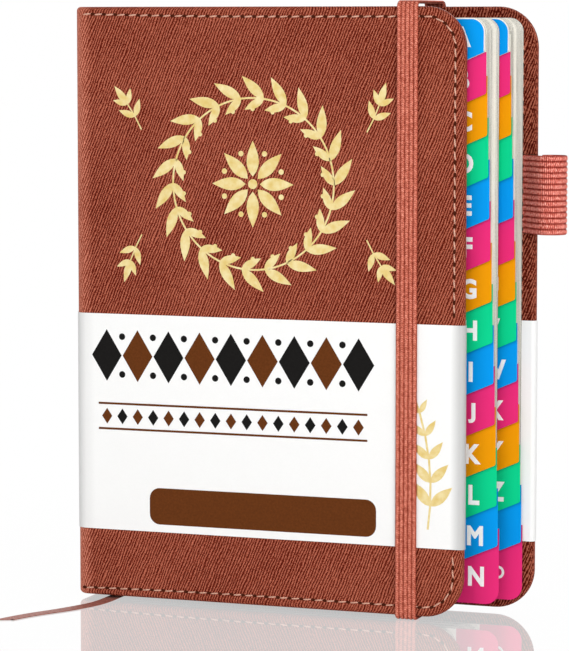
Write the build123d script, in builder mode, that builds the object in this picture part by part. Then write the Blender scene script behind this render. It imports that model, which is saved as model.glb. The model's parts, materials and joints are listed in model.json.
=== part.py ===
from build123d import *
from math import radians, tan
import os

os.makedirs("parts", exist_ok=True)

# Case: covers and spine, in millimetres
cover_height = 193.0
front_width = 133.2
back_overhang = 3.375
cover_corner = 13.0
leather = 0.8
board = 2.0
turn_in = 0.4
turn_in_width = 5.0
edge_roll = 1.3
joint_width = 3.0
spine_round = 4.0
board_fit = 0.05

# Leaves
tab_rows = 14
groups = 7
tab_leaf = 0.22
leaf_stack = 0.46
flyleaf = 0.25
first_tier_reach = 5.2
second_tier_reach = 10.1
section_step = 0.225
page_setback = 1.0
head_margin = 3.6
tail_margin = 3.1
first_tab_height = 10.5
last_tab_height = 19.0
tab_depth = 14.0
tab_slant = 23.5
leaf_corner = 4.5
tab_corner = 1.0
tab_overlap = 5.5
flyleaf_margin = 4.0
page_gap = 0.4

# Binding
lining = 0.4
hollow = 0.8
end_band = 0.5
end_band_height = 7.0
end_band_bead = 1.7
end_band_lift = 0.2
end_band_margin = 1.0

# Elastic strap
strap_width = 7.0
strap = 1.0
strap_inset = 18.6
strap_gap = 0.35
strap_head_gap = 0.9
strap_foot_gap = 0.2
strap_bend = 2.4
slit_inset = 13.0
slit_clearance = 0.2
strap_tail = 2.4

# Pen loop
loop_bore = 4.1
loop_band = 1.0
loop_height = 25.0
loop_centre_height = 134.9
loop_edge_gap = 0.5
loop_set_forward = 2.3
loop_tail = 12.0
loop_seat_clearance = 0.1
loop_throat = 0.8

# Ribbon marker
ribbon_width = 4.5
ribbon = 0.22
ribbon_gap = 0.3
ribbon_inset = 12.0
ribbon_bend = 1.5
ribbon_floor_gap = 0.08
ribbon_head_inset = 8.0

# Belly band
band = 0.2
band_gap = 0.08
band_low = 23.45
band_height = 71.1
band_flap = 40.0

# Derived places along the book's thickness, front face to back face
cover_thickness = leather + board + turn_in
section = tab_leaf + leaf_stack
sections = 2 * tab_rows
block = 2 * flyleaf + sections * section + ribbon_gap
thickness = 2 * cover_thickness + 2 * page_gap + block
front_face = -thickness / 2
front_inside = front_face + cover_thickness
back_face = thickness / 2
back_inside = back_face - cover_thickness
first_leaf = front_inside + page_gap + flyleaf

# Derived places along the book's width, spine to fore-edge
back_width = front_width + second_tier_reach + (tab_rows - 1) * section_step + back_overhang
band_proud = band_gap + band
loop_radius = loop_bore + loop_band
loop_reach = loop_edge_gap + 2 * loop_radius
spine_face = band_proud - (band_proud + back_width + loop_reach) / 2
spine_inside = spine_face + leather + board
binding = spine_inside + lining + hollow
joint_edge = binding + joint_width
front_edge = spine_face + front_width
back_edge = spine_face + back_width
strap_place = front_edge - strap_inset
ribbon_place = spine_face + ribbon_inset

# Derived heights above the table
cover_bottom = strap + strap_foot_gap
cover_top = cover_bottom + cover_height
page_bottom = cover_bottom + tail_margin
page_top = cover_top - head_margin
tab_pitch = (page_top - page_bottom - first_tab_height - last_tab_height) / (tab_rows - 2)
slant_drop = tab_depth * tan(radians(tab_slant))
strap_top = cover_top + strap_head_gap + strap
slit_low = cover_bottom + slit_inset
slit_high = cover_top - slit_inset
cover_middle = (cover_bottom + cover_top) / 2


def upright(y):
    # Sketch plane parallel to the covers, with a negative extrusion towards the back.
    return Plane.XZ.offset(-y)


def finish(piece, label):
    piece.part.label = label
    export_step(piece.part, f"parts/{label}.step")


def cover_outline(sketch, fore_edge, inset):
    # A cover's outline, drawn in evenly: square at the joint, round at the fore-edge.
    left = joint_edge + inset
    right = fore_edge - inset
    with Locations(((left + right) / 2, cover_middle)):
        Rectangle(right - left, cover_height - 2 * inset)
    fillet(sketch.vertices().group_by(Axis.X)[-1], cover_corner - inset)


def leaf_outline(sketch, fore_edge, row, setback=0.0):
    # A leaf cut back below the foot of its own tab, and set back a little above the head of the tab.
    foot = page_top - first_tab_height - (row - 1) * tab_pitch
    notched = setback > 0 and row > 1
    head = foot + tab_pitch + tab_overlap if notched else page_top
    upper_edge = fore_edge - setback if notched else fore_edge
    step = fore_edge - tab_depth
    with BuildLine() as edge:
        if row < tab_rows:
            Polyline((step, page_bottom), (step, foot - slant_drop), (fore_edge, foot), (fore_edge, head))
            lower_right = step
        else:
            Line((fore_edge, page_bottom), (fore_edge, head))
            lower_right = fore_edge
        if notched:
            Polyline((fore_edge, head), (upper_edge, head), (upper_edge, page_top))
        Polyline(
            (upper_edge, page_top), (binding, page_top), (binding, page_bottom), (lower_right, page_bottom)
        )
    make_face(edge.edges())
    corners = sketch.vertices().filter_by(lambda v: v.X > binding + leaf_corner)
    fillet([corners.sort_by(Axis.Y)[0], corners.sort_by(Axis.Y)[-1]], leaf_corner)
    if row < tab_rows:
        fillet(sketch.vertices().sort_by_distance((fore_edge, foot))[0], tab_corner)


def section_front(index):
    # Front of a section's tab leaf. The ribbon lies between the two tiers.
    return first_leaf + index * section + (ribbon_gap if index >= tab_rows else 0.0)


def section_edge(index):
    # Each leaf stands out a little further than the one before it, and the second tier further still.
    tier, row = divmod(index, tab_rows)
    return front_edge + (second_tier_reach if tier else first_tier_reach) + row * section_step


# Boards, skins and pastedowns of both covers
for side, face, inward, fore_edge in (
    ("front", front_face, 1, front_edge),
    ("back", back_face, -1, back_edge),
):
    # Extrusions from an upright sketch run towards the front, so inward is turned round.
    towards = -inward
    board_face = face + inward * leather
    inside = face + inward * cover_thickness

    with BuildPart() as skin:
        with BuildSketch(upright(face)) as outline:
            cover_outline(outline, fore_edge, 0)
        extrude(amount=towards * cover_thickness)
        for rolled in (skin.faces().sort_by(Axis.Y)[0], skin.faces().sort_by(Axis.Y)[-1]):
            fillet(rolled.edges().filter_by(lambda e: e.center().X > joint_edge + leather), edge_roll)
        with BuildSketch(upright(board_face)) as outline:
            cover_outline(outline, fore_edge, leather)
        extrude(amount=towards * board, mode=Mode.SUBTRACT)
        with BuildSketch(upright(inside)) as outline:
            cover_outline(outline, fore_edge, turn_in_width)
        extrude(amount=-towards * turn_in, mode=Mode.SUBTRACT)
        if side == "back":
            with BuildSketch(upright(face)):
                with Locations((strap_place, slit_low), (strap_place, slit_high)):
                    Rectangle(strap_width + 2 * slit_clearance, strap + 2 * slit_clearance)
            extrude(amount=towards * leather, mode=Mode.SUBTRACT)
            with BuildSketch(upright(inside)):
                with Locations((fore_edge, loop_centre_height)):
                    Rectangle(2 * (loop_tail + loop_seat_clearance), loop_height + 2 * loop_seat_clearance)
            extrude(amount=-towards * (loop_band + loop_seat_clearance), mode=Mode.SUBTRACT)
    finish(skin, f"{side}_leather")

    with BuildPart() as stiffener:
        with BuildSketch(upright(board_face + inward * board_fit)) as outline:
            cover_outline(outline, fore_edge, leather + board_fit)
        extrude(amount=towards * (board - board_fit))
        if side == "back":
            with BuildSketch(upright(board_face)):
                with Locations((strap_place, slit_low), (strap_place, slit_high)):
                    Rectangle(strap_width + 2 * slit_clearance, strap + 2 * slit_clearance)
            extrude(amount=towards * board, mode=Mode.SUBTRACT)
            with BuildSketch(upright(inside)):
                with Locations((fore_edge, loop_centre_height)):
                    Rectangle(2 * (loop_tail + loop_seat_clearance), loop_height + 2 * loop_seat_clearance)
            extrude(amount=-towards * (loop_band + loop_seat_clearance), mode=Mode.SUBTRACT)
    finish(stiffener, f"{side}_board")

    with BuildPart() as pastedown:
        with BuildSketch(upright(inside)) as outline:
            cover_outline(outline, fore_edge, turn_in_width + board_fit)
        extrude(amount=-towards * turn_in)
        if side == "back":
            with BuildSketch(upright(inside)):
                with Locations((fore_edge, loop_centre_height)):
                    Rectangle(2 * (loop_tail + loop_seat_clearance), loop_height + 2 * loop_seat_clearance)
            extrude(amount=-towards * turn_in, mode=Mode.SUBTRACT)
    finish(pastedown, f"{side}_pastedown")

# Spine: its board, the skin over it, and the skin round the two joints
spine_front = front_face + spine_round
spine_back = back_face - spine_round
spine_span = spine_back - spine_front

with BuildPart() as spine_leather:
    with BuildSketch(Plane.YZ.offset(spine_face)):
        with Locations((0, cover_middle)):
            Rectangle(spine_span, cover_height)
    extrude(amount=leather + board)
    with BuildSketch(Plane.YZ.offset(spine_face + leather)):
        with Locations((0, cover_middle)):
            Rectangle(spine_span, cover_height - 2 * leather)
    extrude(amount=board, mode=Mode.SUBTRACT)
    ends = spine_leather.faces().sort_by(Axis.X)[0].edges().filter_by(Axis.Y)
    fillet(ends, edge_roll)
finish(spine_leather, "spine_leather")

with BuildPart() as spine_board:
    with BuildSketch(Plane.YZ.offset(spine_face + leather)):
        with Locations((0, cover_middle)):
            Rectangle(spine_span, cover_height - 2 * (leather + board_fit))
    extrude(amount=board)
finish(spine_board, "spine_board")

with BuildPart() as spine_lining:
    with BuildSketch(Plane.YZ.offset(spine_inside)):
        with Locations((0, cover_middle)):
            Rectangle(spine_span, page_top - page_bottom)
    extrude(amount=lining)
finish(spine_lining, "spine_lining")

for side, face, inward in (("front", front_face, 1), ("back", back_face, -1)):
    middle = face + inward * leather / 2
    with BuildPart() as joint_leather:
        with BuildSketch(Plane.XY.offset(cover_bottom)):
            with BuildLine():
                FilletPolyline(
                    (joint_edge, middle),
                    (spine_face + leather / 2, middle),
                    (spine_face + leather / 2, face + inward * spine_round),
                    radius=spine_round - leather / 2 - board_fit,
                )
            trace(line_width=leather)
        extrude(amount=cover_height)
    finish(joint_leather, f"{side}_joint_leather")

# Head band and tail band: a cloth strip on the lining with a bead over the leaves' ends
for label, leaf_end, outward in (("head_band", page_top, 1), ("tail_band", page_bottom, -1)):
    bead_foot = leaf_end + outward * end_band_lift
    with BuildPart() as end_strip:
        with BuildSketch(upright(-spine_span / 2 + end_band_margin)) as profile:
            with Locations((spine_inside + lining + end_band / 2, leaf_end - outward * end_band_height / 2)):
                Rectangle(end_band, end_band_height)
            bead_middle = bead_foot + outward * end_band_bead / 2
            with Locations((spine_inside + lining + end_band_bead / 2, bead_middle)):
                Rectangle(end_band_bead, end_band_bead)
            with Locations((spine_inside + lining + end_band / 2, leaf_end + outward * end_band_lift / 2)):
                Rectangle(end_band, end_band_lift)
            fillet(profile.vertices().group_by(Axis.X)[-1], end_band_bead / 3)
        extrude(amount=-(spine_span - 2 * end_band_margin))
    finish(end_strip, label)

# Flyleaves behind the front cover and before the back one
for side, face, fore_edge in (
    ("front", front_inside + page_gap, front_edge - flyleaf_margin),
    ("back", back_inside - page_gap - flyleaf, section_edge(sections - 1) - page_setback),
):
    with BuildPart() as blank_leaf:
        with BuildSketch(upright(face)) as outline:
            leaf_outline(outline, fore_edge, tab_rows)
        extrude(amount=-flyleaf)
    finish(blank_leaf, f"{side}_flyleaf")

# Index leaves, one to a letter and two more, each with a stack of plain leaves of its outline behind it
tab_names = [chr(ord("a") + place) for place in range(26)] + ["blank", "ring"]
for index, name in enumerate(tab_names):
    with BuildPart() as tab:
        with BuildSketch(upright(section_front(index))) as outline:
            leaf_outline(outline, section_edge(index), index % tab_rows + 1, page_setback)
        extrude(amount=-tab_leaf)
    finish(tab, f"tab_{name}")

group_size = sections // groups
for group in range(groups):
    with BuildPart() as leaves:
        for index in range(group * group_size, (group + 1) * group_size):
            with BuildSketch(upright(section_front(index) + tab_leaf)) as outline:
                leaf_outline(outline, section_edge(index) - page_setback, index % tab_rows + 1)
            extrude(amount=-leaf_stack)
    finish(leaves, f"leaves_{group + 1}")

# Elastic strap: a loop open at the back, with its ends through the slits of the back cover
strap_proud = strap_gap + strap
strap_depth = thickness + 2 * strap_proud

with BuildPart() as elastic_strap:
    with BuildSketch(Plane.YZ.offset(strap_place - strap_width / 2)) as loop:
        with Locations((0, strap_top / 2)):
            RectangleRounded(strap_depth, strap_top, strap_bend)
            RectangleRounded(
                strap_depth - 2 * strap, strap_top - 2 * strap, strap_bend - strap, mode=Mode.SUBTRACT
            )
        with Locations((back_face + strap_proud, (slit_low + slit_high) / 2)):
            Rectangle(2 * strap_proud, slit_high - slit_low - strap, mode=Mode.SUBTRACT)
        for slit in (slit_low, slit_high):
            with Locations((back_face + strap_proud, slit)):
                Rectangle(strap_proud + strap_tail, strap, align=(Align.MAX, Align.CENTER))
    extrude(amount=strap_width)
finish(elastic_strap, "elastic_strap")

# Pen loop: a ring of woven elastic beside the fore-edge, its doubled tail let into the back cover
loop_centre = (back_edge + loop_edge_gap + loop_radius, back_inside - loop_set_forward)

with BuildPart() as pen_loop:
    with BuildSketch(Plane.XY.offset(loop_centre_height - loop_height / 2)) as ring:
        with Locations(loop_centre):
            Circle(loop_radius)
        with Locations((back_edge - loop_tail, back_inside)):
            Rectangle(loop_tail + loop_edge_gap + loop_radius, loop_band, align=(Align.MIN, Align.MIN))
        near, far = back_edge - loop_tail + loop_band, loop_centre[0] - loop_band
        throats = ring.vertices().filter_by(lambda v: near < v.X < far)
        fillet(throats, loop_throat)
        with Locations(loop_centre):
            Circle(loop_bore, mode=Mode.SUBTRACT)
    extrude(amount=loop_height)
finish(pen_loop, "pen_loop")

# Ribbon marker: down between the two tiers, forward under the leaves, and free in front of the book
ribbon_depth = section_front(tab_rows) - ribbon_gap / 2
ribbon_floor = ribbon_floor_gap + ribbon / 2

with BuildPart() as ribbon_inner:
    with BuildSketch(Plane.YZ.offset(ribbon_place - ribbon_width / 2)):
        with BuildLine():
            FilletPolyline(
                (ribbon_depth, page_top - ribbon_head_inset),
                (ribbon_depth, ribbon_floor),
                (front_face, ribbon_floor),
                radius=ribbon_bend,
            )
        trace(line_width=ribbon)
    extrude(amount=ribbon_width)
finish(ribbon_inner, "ribbon_inner")

ribbon_points = [
    (0.0, 0.0),
    (0.0, -7.0),
    (-2.2, -15.2),
    (-6.4, -24.0),
    (-11.4, -32.2),
    (-15.0, -40.0),
    (-16.6, -44.8),
]
ribbon_route = [Vector(ribbon_place + x, front_face + y) for x, y in ribbon_points]
ribbon_radii = []
for before, at, after in zip(ribbon_route, ribbon_route[1:], ribbon_route[2:]):
    turn = (at - before).get_angle(after - at)
    shorter = min((at - before).length, (after - at).length)
    ribbon_radii.append(0.45 * shorter / tan(radians(turn / 2)))
print("ribbon bend radii", [round(r, 1) for r in ribbon_radii])

with BuildPart() as ribbon_tail:
    with BuildSketch(Plane.XY.offset(ribbon_floor_gap)):
        with BuildLine():
            FilletPolyline(*ribbon_route, radius=ribbon_radii)
        trace(line_width=ribbon_width)
    extrude(amount=ribbon)
finish(ribbon_tail, "ribbon_tail")

# Belly band: one strip of paper, folded in at both fore-edges and split here at the joints
band_middle = band_gap + band / 2
fold = edge_roll + band_middle

for side, face, inward, fore_edge in (
    ("front", front_face, 1, front_edge),
    ("back", back_face, -1, back_edge),
):
    outer = face - inward * band_middle
    inner = face + inward * (cover_thickness + band_middle)
    spine_line = spine_face - band_middle

    with BuildPart() as panel:
        with BuildSketch(Plane.XY.offset(band_low)):
            with BuildLine():
                FilletPolyline(
                    (joint_edge, outer),
                    (fore_edge + band_middle, outer),
                    (fore_edge + band_middle, inner),
                    (fore_edge - band_flap, inner),
                    radius=fold,
                )
            trace(line_width=band)
        extrude(amount=band_height)
    finish(panel, f"band_{side}")

    with BuildPart() as joint_strip:
        with BuildSketch(Plane.XY.offset(band_low)):
            with BuildLine():
                FilletPolyline(
                    (joint_edge, outer),
                    (spine_line, outer),
                    (spine_line, face + inward * spine_round),
                    radius=spine_round + band_middle - board_fit,
                )
            trace(line_width=band)
        extrude(amount=band_height)
    finish(joint_strip, f"band_{side}_joint")

with BuildPart() as band_spine:
    with BuildSketch(Plane.YZ.offset(spine_face - band_proud)):
        with Locations((0, band_low + band_height / 2)):
            Rectangle(spine_span, band_height)
    extrude(amount=band)
finish(band_spine, "band_spine")
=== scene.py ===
import json
import math
import random

import bpy
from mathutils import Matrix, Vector


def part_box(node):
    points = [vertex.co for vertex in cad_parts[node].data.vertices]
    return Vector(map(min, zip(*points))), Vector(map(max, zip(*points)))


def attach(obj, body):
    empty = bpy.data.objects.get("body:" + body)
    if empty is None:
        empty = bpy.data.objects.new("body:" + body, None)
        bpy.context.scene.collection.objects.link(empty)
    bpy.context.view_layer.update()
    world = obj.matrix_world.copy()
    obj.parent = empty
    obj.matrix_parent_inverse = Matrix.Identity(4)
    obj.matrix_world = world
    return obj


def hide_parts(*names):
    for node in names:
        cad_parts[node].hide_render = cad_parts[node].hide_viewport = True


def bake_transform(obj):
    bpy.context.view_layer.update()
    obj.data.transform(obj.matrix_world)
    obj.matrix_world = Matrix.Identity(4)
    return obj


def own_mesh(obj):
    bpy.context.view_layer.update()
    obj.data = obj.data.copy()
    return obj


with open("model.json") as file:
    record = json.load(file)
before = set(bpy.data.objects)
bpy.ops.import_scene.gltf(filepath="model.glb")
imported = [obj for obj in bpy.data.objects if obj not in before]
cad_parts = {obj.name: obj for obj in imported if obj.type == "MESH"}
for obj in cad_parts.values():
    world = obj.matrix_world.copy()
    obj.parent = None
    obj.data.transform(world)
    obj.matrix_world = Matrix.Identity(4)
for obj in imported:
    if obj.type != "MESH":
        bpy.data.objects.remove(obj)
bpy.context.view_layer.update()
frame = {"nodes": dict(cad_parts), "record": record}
scene = bpy.context.scene
cadNodes = frame["nodes"]
print("frame loaded,", len(cadNodes), "nodes")


# small helpers for meshes and node trees

sharpBend = math.radians(42)


def corner(node, high):
    return Vector(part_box(node)[1 if high else 0])


def meshPiece(name, points, polygons, finishes, finishOf=None, smooth=True):
    data = bpy.data.meshes.new(name)
    data.from_pydata([tuple(p) for p in points], [], polygons)
    for finish in finishes:
        data.materials.append(finish)
    if finishOf:
        data.polygons.foreach_set("material_index", finishOf)
    data.polygons.foreach_set("use_smooth", [smooth] * len(polygons))
    data.update()
    if smooth:
        data.set_sharp_from_angle(angle=sharpBend)
    piece = bpy.data.objects.new(name, data)
    scene.collection.objects.link(piece)
    return piece


def tubeGrid(rings, closedRing=True, capEnds=True):
    # joins equal rings of points into quads, with flat ends
    points = [p for ring in rings for p in ring]
    count = len(rings[0])
    spans = count if closedRing else count - 1
    polygons = []
    for r in range(len(rings) - 1):
        for k in range(spans):
            a, b = r * count + k, r * count + (k + 1) % count
            polygons.append((a, b, b + count, a + count))
    if capEnds:
        polygons.append(tuple(reversed(range(count))))
        polygons.append(tuple(range((len(rings) - 1) * count, len(rings) * count)))
    return points, polygons


class Value:
    # a number in a node tree, so that formulas read as plain sums
    def __init__(self, tree, socket):
        self.tree, self.socket = tree, socket

    def calc(self, operation, *values):
        node = self.tree.nodes.new("ShaderNodeMath")
        node.operation = operation
        for value, socket in zip(values, node.inputs):
            plug(value, socket)
        return Value(self.tree, node.outputs[0])

    def __add__(self, other):
        return self.calc("ADD", self, other)

    def __sub__(self, other):
        return self.calc("SUBTRACT", self, other)

    def __rsub__(self, other):
        return self.calc("SUBTRACT", other, self)

    def __mul__(self, other):
        return self.calc("MULTIPLY", self, other)

    def __truediv__(self, other):
        return self.calc("DIVIDE", self, other)

    def __mod__(self, step):
        return self.calc("MODULO", self, step)

    def __pow__(self, power):
        return self.calc("POWER", self, power)

    def __lt__(self, other):
        return self.calc("LESS_THAN", self, other)

    def __gt__(self, other):
        return self.calc("GREATER_THAN", self, other)

    def __abs__(self):
        return self.calc("ABSOLUTE", self)

    def sign(self):
        return self.calc("SIGN", self)

    def fract(self):
        return self.calc("FRACT", self)

    def root(self):
        return self.calc("SQRT", self)

    def atLeast(self, low):
        return self.calc("MAXIMUM", self, low)

    def atMost(self, high):
        return self.calc("MINIMUM", self, high)

    def wave(self, pitch=1.0):
        return self.calc("SINE", self * (2 * math.pi / pitch))

    def within(self, low, high):
        return (self > low) * (self < high)

    def fading(self, reach):
        # one at nought, down to nothing at the reach
        return (1.0 - self / reach).atLeast(0.0)


def plug(value, socket):
    if isinstance(value, Value):
        value.tree.links.new(value.socket, socket)
    else:
        socket.default_value = value


def shaded(colour, share):
    return tuple(c * share for c in colour)


def mixColour(share, first, second):
    node = share.tree.nodes.new("ShaderNodeMix")
    node.data_type = "RGBA"
    plug(share, node.inputs["Factor"])
    for value, socket in zip((first, second), node.inputs[6:8]):
        plug(value if isinstance(value, Value) else (*value, 1), socket)
    return Value(share.tree, node.outputs[2])


def ramp(share, stops):
    node = share.tree.nodes.new("ShaderNodeValToRGB")
    band = node.color_ramp
    while len(band.elements) < len(stops):
        band.elements.new(0.5)
    for element, (place, colour) in zip(band.elements, stops):
        element.position = place
        element.color = (*colour, 1)
    plug(share, node.inputs[0])
    return Value(share.tree, node.outputs[0])


def partsOf(tree, kind):
    coords = tree.nodes.new("ShaderNodeTexCoord")
    split = tree.nodes.new("ShaderNodeSeparateXYZ")
    tree.links.new(coords.outputs[kind], split.inputs[0])
    return [Value(tree, socket) for socket in (coords.outputs[kind], *split.outputs)]


def placeOf(tree):
    # a point's place on the object, in metres
    return partsOf(tree, "Object")


def facingY(tree):
    # how far the surface faces along y on the piece itself, the same at every pose
    return partsOf(tree, "Normal")[2]


def join3(x, y, z=0.0):
    node = y.tree.nodes.new("ShaderNodeCombineXYZ")
    for value, socket in zip((x, y, z), node.inputs):
        plug(value, socket)
    return Value(y.tree, node.outputs[0])


def noise(vector, scale, detail=2.0, roughness=0.5):
    node = vector.tree.nodes.new("ShaderNodeTexNoise")
    for socket, value in (("Vector", vector), ("Scale", scale), ("Detail", detail), ("Roughness", roughness)):
        plug(value, node.inputs[socket])
    return Value(vector.tree, node.outputs["Fac"])


def newFinish(name):
    finish = bpy.data.materials.new(name)
    finish.use_nodes = True
    return finish, placeOf(finish.node_tree)


def coat(finish, colour, roughness, specular=0.5, relief=None, sheen=0.0, metal=0.0):
    # relief is a height, its strength and its distance
    tree = finish.node_tree
    shader = tree.nodes["Principled BSDF"]
    settings = {"Base Color": colour, "Roughness": roughness, "Specular IOR Level": specular,
                "Sheen Weight": sheen, "Metallic": metal}
    for socket, value in settings.items():
        plug(value, shader.inputs[socket])
    if relief:
        node = tree.nodes.new("ShaderNodeBump")
        for socket, value in zip(("Height", "Strength", "Distance"), relief):
            plug(value, node.inputs[socket])
        tree.links.new(node.outputs[0], shader.inputs["Normal"])
    return finish


def dressNode(node, finish):
    slots = cadNodes[node].data.materials
    slots.clear()
    slots.append(finish)


# camera, fitted to the cover's edges in a 569 by 651 frame

cameraSet = {
    "azimuth": 20.321,
    "elevation": 5.505,
    "distance": 0.997222,
    "lens": 172.42,
    "aim": (-0.006693, -0.01352, 0.092668),
}


def addCamera(look):
    a, e = math.radians(look["azimuth"]), math.radians(look["elevation"])
    back = Vector((math.sin(a) * math.cos(e), -math.cos(a) * math.cos(e), math.sin(e)))
    data = bpy.data.cameras.new("camera")
    data.lens = look["lens"]
    data.sensor_width = 36
    data.clip_end = 20
    eye = bpy.data.objects.new("camera", data)
    eye.location = Vector(look["aim"]) + back * look["distance"]
    eye.rotation_euler = back.to_track_quat("Z", "Y").to_euler()
    scene.collection.objects.link(eye)
    scene.camera = eye


addCamera(cameraSet)
print("camera placed")

# ribbon marker: its free tail on the table

ribbonLook = {
    "width": 0.0045,
    "thick": 0.00022,
    "route": [(0.0, 0.0), (0.0, -7.0), (-2.2, -15.2), (-6.4, -24.0), (-11.4, -32.2),
              (-15.0, -40.0), (-16.6, -44.8)],  # millimetres from where it leaves the book
    "twist": 1.5,
    "endTwist": 0.2,
    "slantCut": 0.0022,
    "halfSteps": 4,
    "weft": 0.00045,
    "weftShare": 0.18,
    "slub": 900.0,
    "dark": (0.20, 0.045, 0.028),
    "light": (0.42, 0.13, 0.09),
}


def ribbonSatin(look):
    finish, (where, x, y, z) = newFinish("ribbonSatin")
    tone = (x + y).wave(look["weft"]) * look["weftShare"] + noise(where, look["slub"], 3.0)
    colour = ramp(tone, [(0.25, look["dark"]), (0.75, look["light"])])
    return coat(finish, colour, roughness=0.55, specular=0.2, relief=(tone, 0.4, 0.00006), sheen=0.05)


ribbonFinish = ribbonSatin(ribbonLook)


def ribbonTail(look):
    low, high = corner("ribbon_inner", False), corner("ribbon_inner", True)
    start = Vector(((low.x + high.x) / 2, low.y, low.z + look["thick"] / 2))
    route = bpy.data.curves.new("ribbonRoute", "CURVE")
    route.dimensions = "3D"
    line = route.splines.new("NURBS")
    line.points.add(len(look["route"]) - 1)
    for point, (x, y) in zip(line.points, look["route"]):
        point.co = (start.x + x / 1000, start.y + y / 1000, start.z, 1)
    line.order_u = 3
    line.use_endpoint_u = True
    line.resolution_u = 8
    carrier = bpy.data.objects.new("ribbonRoute", route)
    scene.collection.objects.link(carrier)
    path = [v.co.copy() for v in bpy.data.meshes.new_from_object(carrier).vertices]
    bpy.data.objects.remove(carrier)
    rings, middles = [], []
    for k, point in enumerate(path):
        ahead = path[min(k + 1, len(path) - 1)] - path[max(k - 1, 0)]
        share = k / (len(path) - 1)
        swing = math.sin(math.pi * min(1.0, share * 1.5)) ** 2
        tilt = math.radians(look["endTwist"] + (look["twist"] - look["endTwist"]) * swing)
        across = Vector((ahead.y, -ahead.x, 0)).normalized()
        side = across * math.cos(tilt) + Vector((0, 0, 1)) * math.sin(tilt)
        lift = side.cross(ahead.normalized())
        middle = point + Vector((0, 0, math.sin(tilt) * look["width"] / 2))
        cut = ahead.normalized() * (look["slantCut"] if k == len(path) - 1 else 0.0)
        ring = []
        for face in (1, -1):
            for step in range(2 * look["halfSteps"] + 1):
                s = (step / look["halfSteps"] - 1) * face
                ring.append(middle + side * s * look["width"] / 2 + lift * look["thick"] / 2 * face + cut * s)
        rings.append(ring)
        middles.append(middle)
    points, polygons = tubeGrid(rings)
    tail = meshPiece("ribbonTail", points, polygons, [ribbonFinish])
    length = sum((b - a).length for a, b in zip(middles, middles[1:]))
    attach(tail, "leaves_4")
    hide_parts("ribbon_tail")
    dressNode("ribbon_inner", ribbonFinish)


ribbonTail(ribbonLook)
print("ribbon laid")

# places shared by the pieces on the case

jointEdge, frontFace, coverLow = corner("front_leather", False)
frontEdge, frontInside, coverTop = corner("front_leather", True)
backInside = corner("back_leather", False).y
backEdge, backFace = corner("back_leather", True).xy
spineFace, spineFront = corner("spine_leather", False).xy
spineBack = corner("spine_leather", True).y
bandFace, bandLow = corner("band_front", False).yz
bandTop = corner("band_front", True).z

# cover skin: pressed twill with a slight gloss

skinLook = {
    "pitch": 0.00088,
    "lean": 67.0,
    "dark": (0.082, 0.0037, 0.0008),
    "middle": (0.204, 0.0246, 0.0090),
    "light": (0.54, 0.156, 0.093),
    "relief": 0.00011,
    "slubLong": 1.3,
    "slubGain": 1.4,
    "slubLoss": 0.25,
    "slubLeast": 0.06,
    "driftWide": 0.35,
    "driftLong": 8,
    "wander": 1.3,
    "grain": 3.6,
    "grainScale": 4200.0,
    "patches": 0.42,
    "patchScale": 40.0,
    "insideGrain": 3.0,
    "insideScale": 1500.0,
    # painted shade on the turned-in edges inside the covers
    "insidePaintedShade": 0.72,
    # painted highlight along the rounded edges of the spine: its reach, strength and colours
    "edgeHighlightReach": 0.0075,
    "edgeHighlight": 1.9,
    "wornDark": (0.29, 0.043, 0.017),
    "wornMiddle": (0.50, 0.142, 0.085),
    "wornLight": (0.88, 0.33, 0.23),
}


def coverSkin(look):
    finish, (where, x, y, z) = newFinish("coverSkin")
    # the cloth runs on round the case: in at the front's edge, across the spine, out to the back's edge
    offX, behind = x - spineFace, y.sign()
    inward = facingY(x.tree) * behind < -0.5
    reach = (y > 0.0) * (backEdge - frontEdge) + (frontEdge - spineFace)
    turned = inward * ((reach - offX) * 2.0) + offX
    run = x.sign() * (y - behind * backFace) - behind * turned - (behind * backFace + backFace)
    lean = math.radians(look["lean"])
    rib = (run * math.sin(lean) - z * math.cos(lean)) / look["pitch"]
    along = run * math.cos(lean) + z * math.sin(lean)
    # raised lines that wander a little and break up along their length
    slub = noise(join3(rib, along / (look["pitch"] * look["slubLong"])), 1.0, 1.0, 0.6)
    drift = noise(join3(rib * look["driftWide"], along / (look["pitch"] * look["driftLong"])), 1.0, 1.0)
    lines = (rib + (drift - 0.5) * look["wander"]).wave()
    lines = lines * (slub * look["slubGain"] - look["slubLoss"]).atLeast(look["slubLeast"]) + 0.5
    # the turned-in edges inside the covers are coarser, and darker with painted shade
    fine = (noise(where, look["grainScale"], 2.0, 0.6) - 0.5) * look["grain"]
    coarse = (noise(where, look["insideScale"], 2.0, 0.6) - 0.5) * look["insideGrain"]
    flecks = inward * (coarse - fine) + fine
    tone = (noise(where, look["patchScale"], 3.0) - 0.5) * look["patches"] + (flecks + lines)
    # painted highlight along the two rounded edges of the spine, a little paler there
    offY = abs(y) - abs(spineFront)
    highlightNear = (offX * offX + offY * offY).root().fading(look["edgeHighlightReach"])
    stops = [(0.15, "dark"), (0.5, "middle"), (0.9, "light")]
    outside = ramp(tone, [(at, look[part]) for at, part in stops])
    # the same ramp paler, for the painted highlight
    worn = ramp(tone, [(at, look["worn" + part.title()]) for at, part in stops])
    # the same ramp darkened, for the painted shade
    inside = ramp(tone, [(at, shaded(look[part], look["insidePaintedShade"])) for at, part in stops])
    colour = mixColour(inward, mixColour(highlightNear * look["edgeHighlight"], outside, worn), inside)
    rough = slub * 0.25 + 0.38
    return coat(finish, colour, rough, specular=0.04, relief=(tone, 0.6, look["relief"]))


skinFinish = coverSkin(skinLook)
for node in ("front_leather", "back_leather", "spine_leather"):
    dressNode(node, skinFinish)

# skin and paper that bend round the two joints

jointLook = {
    "skin": 0.0008,
    "roll": 0.0013,
    "arcSteps": 24,
    "flatSteps": 5,
    "rollSteps": 5,
    "lip": 0.0003,
}


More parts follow.
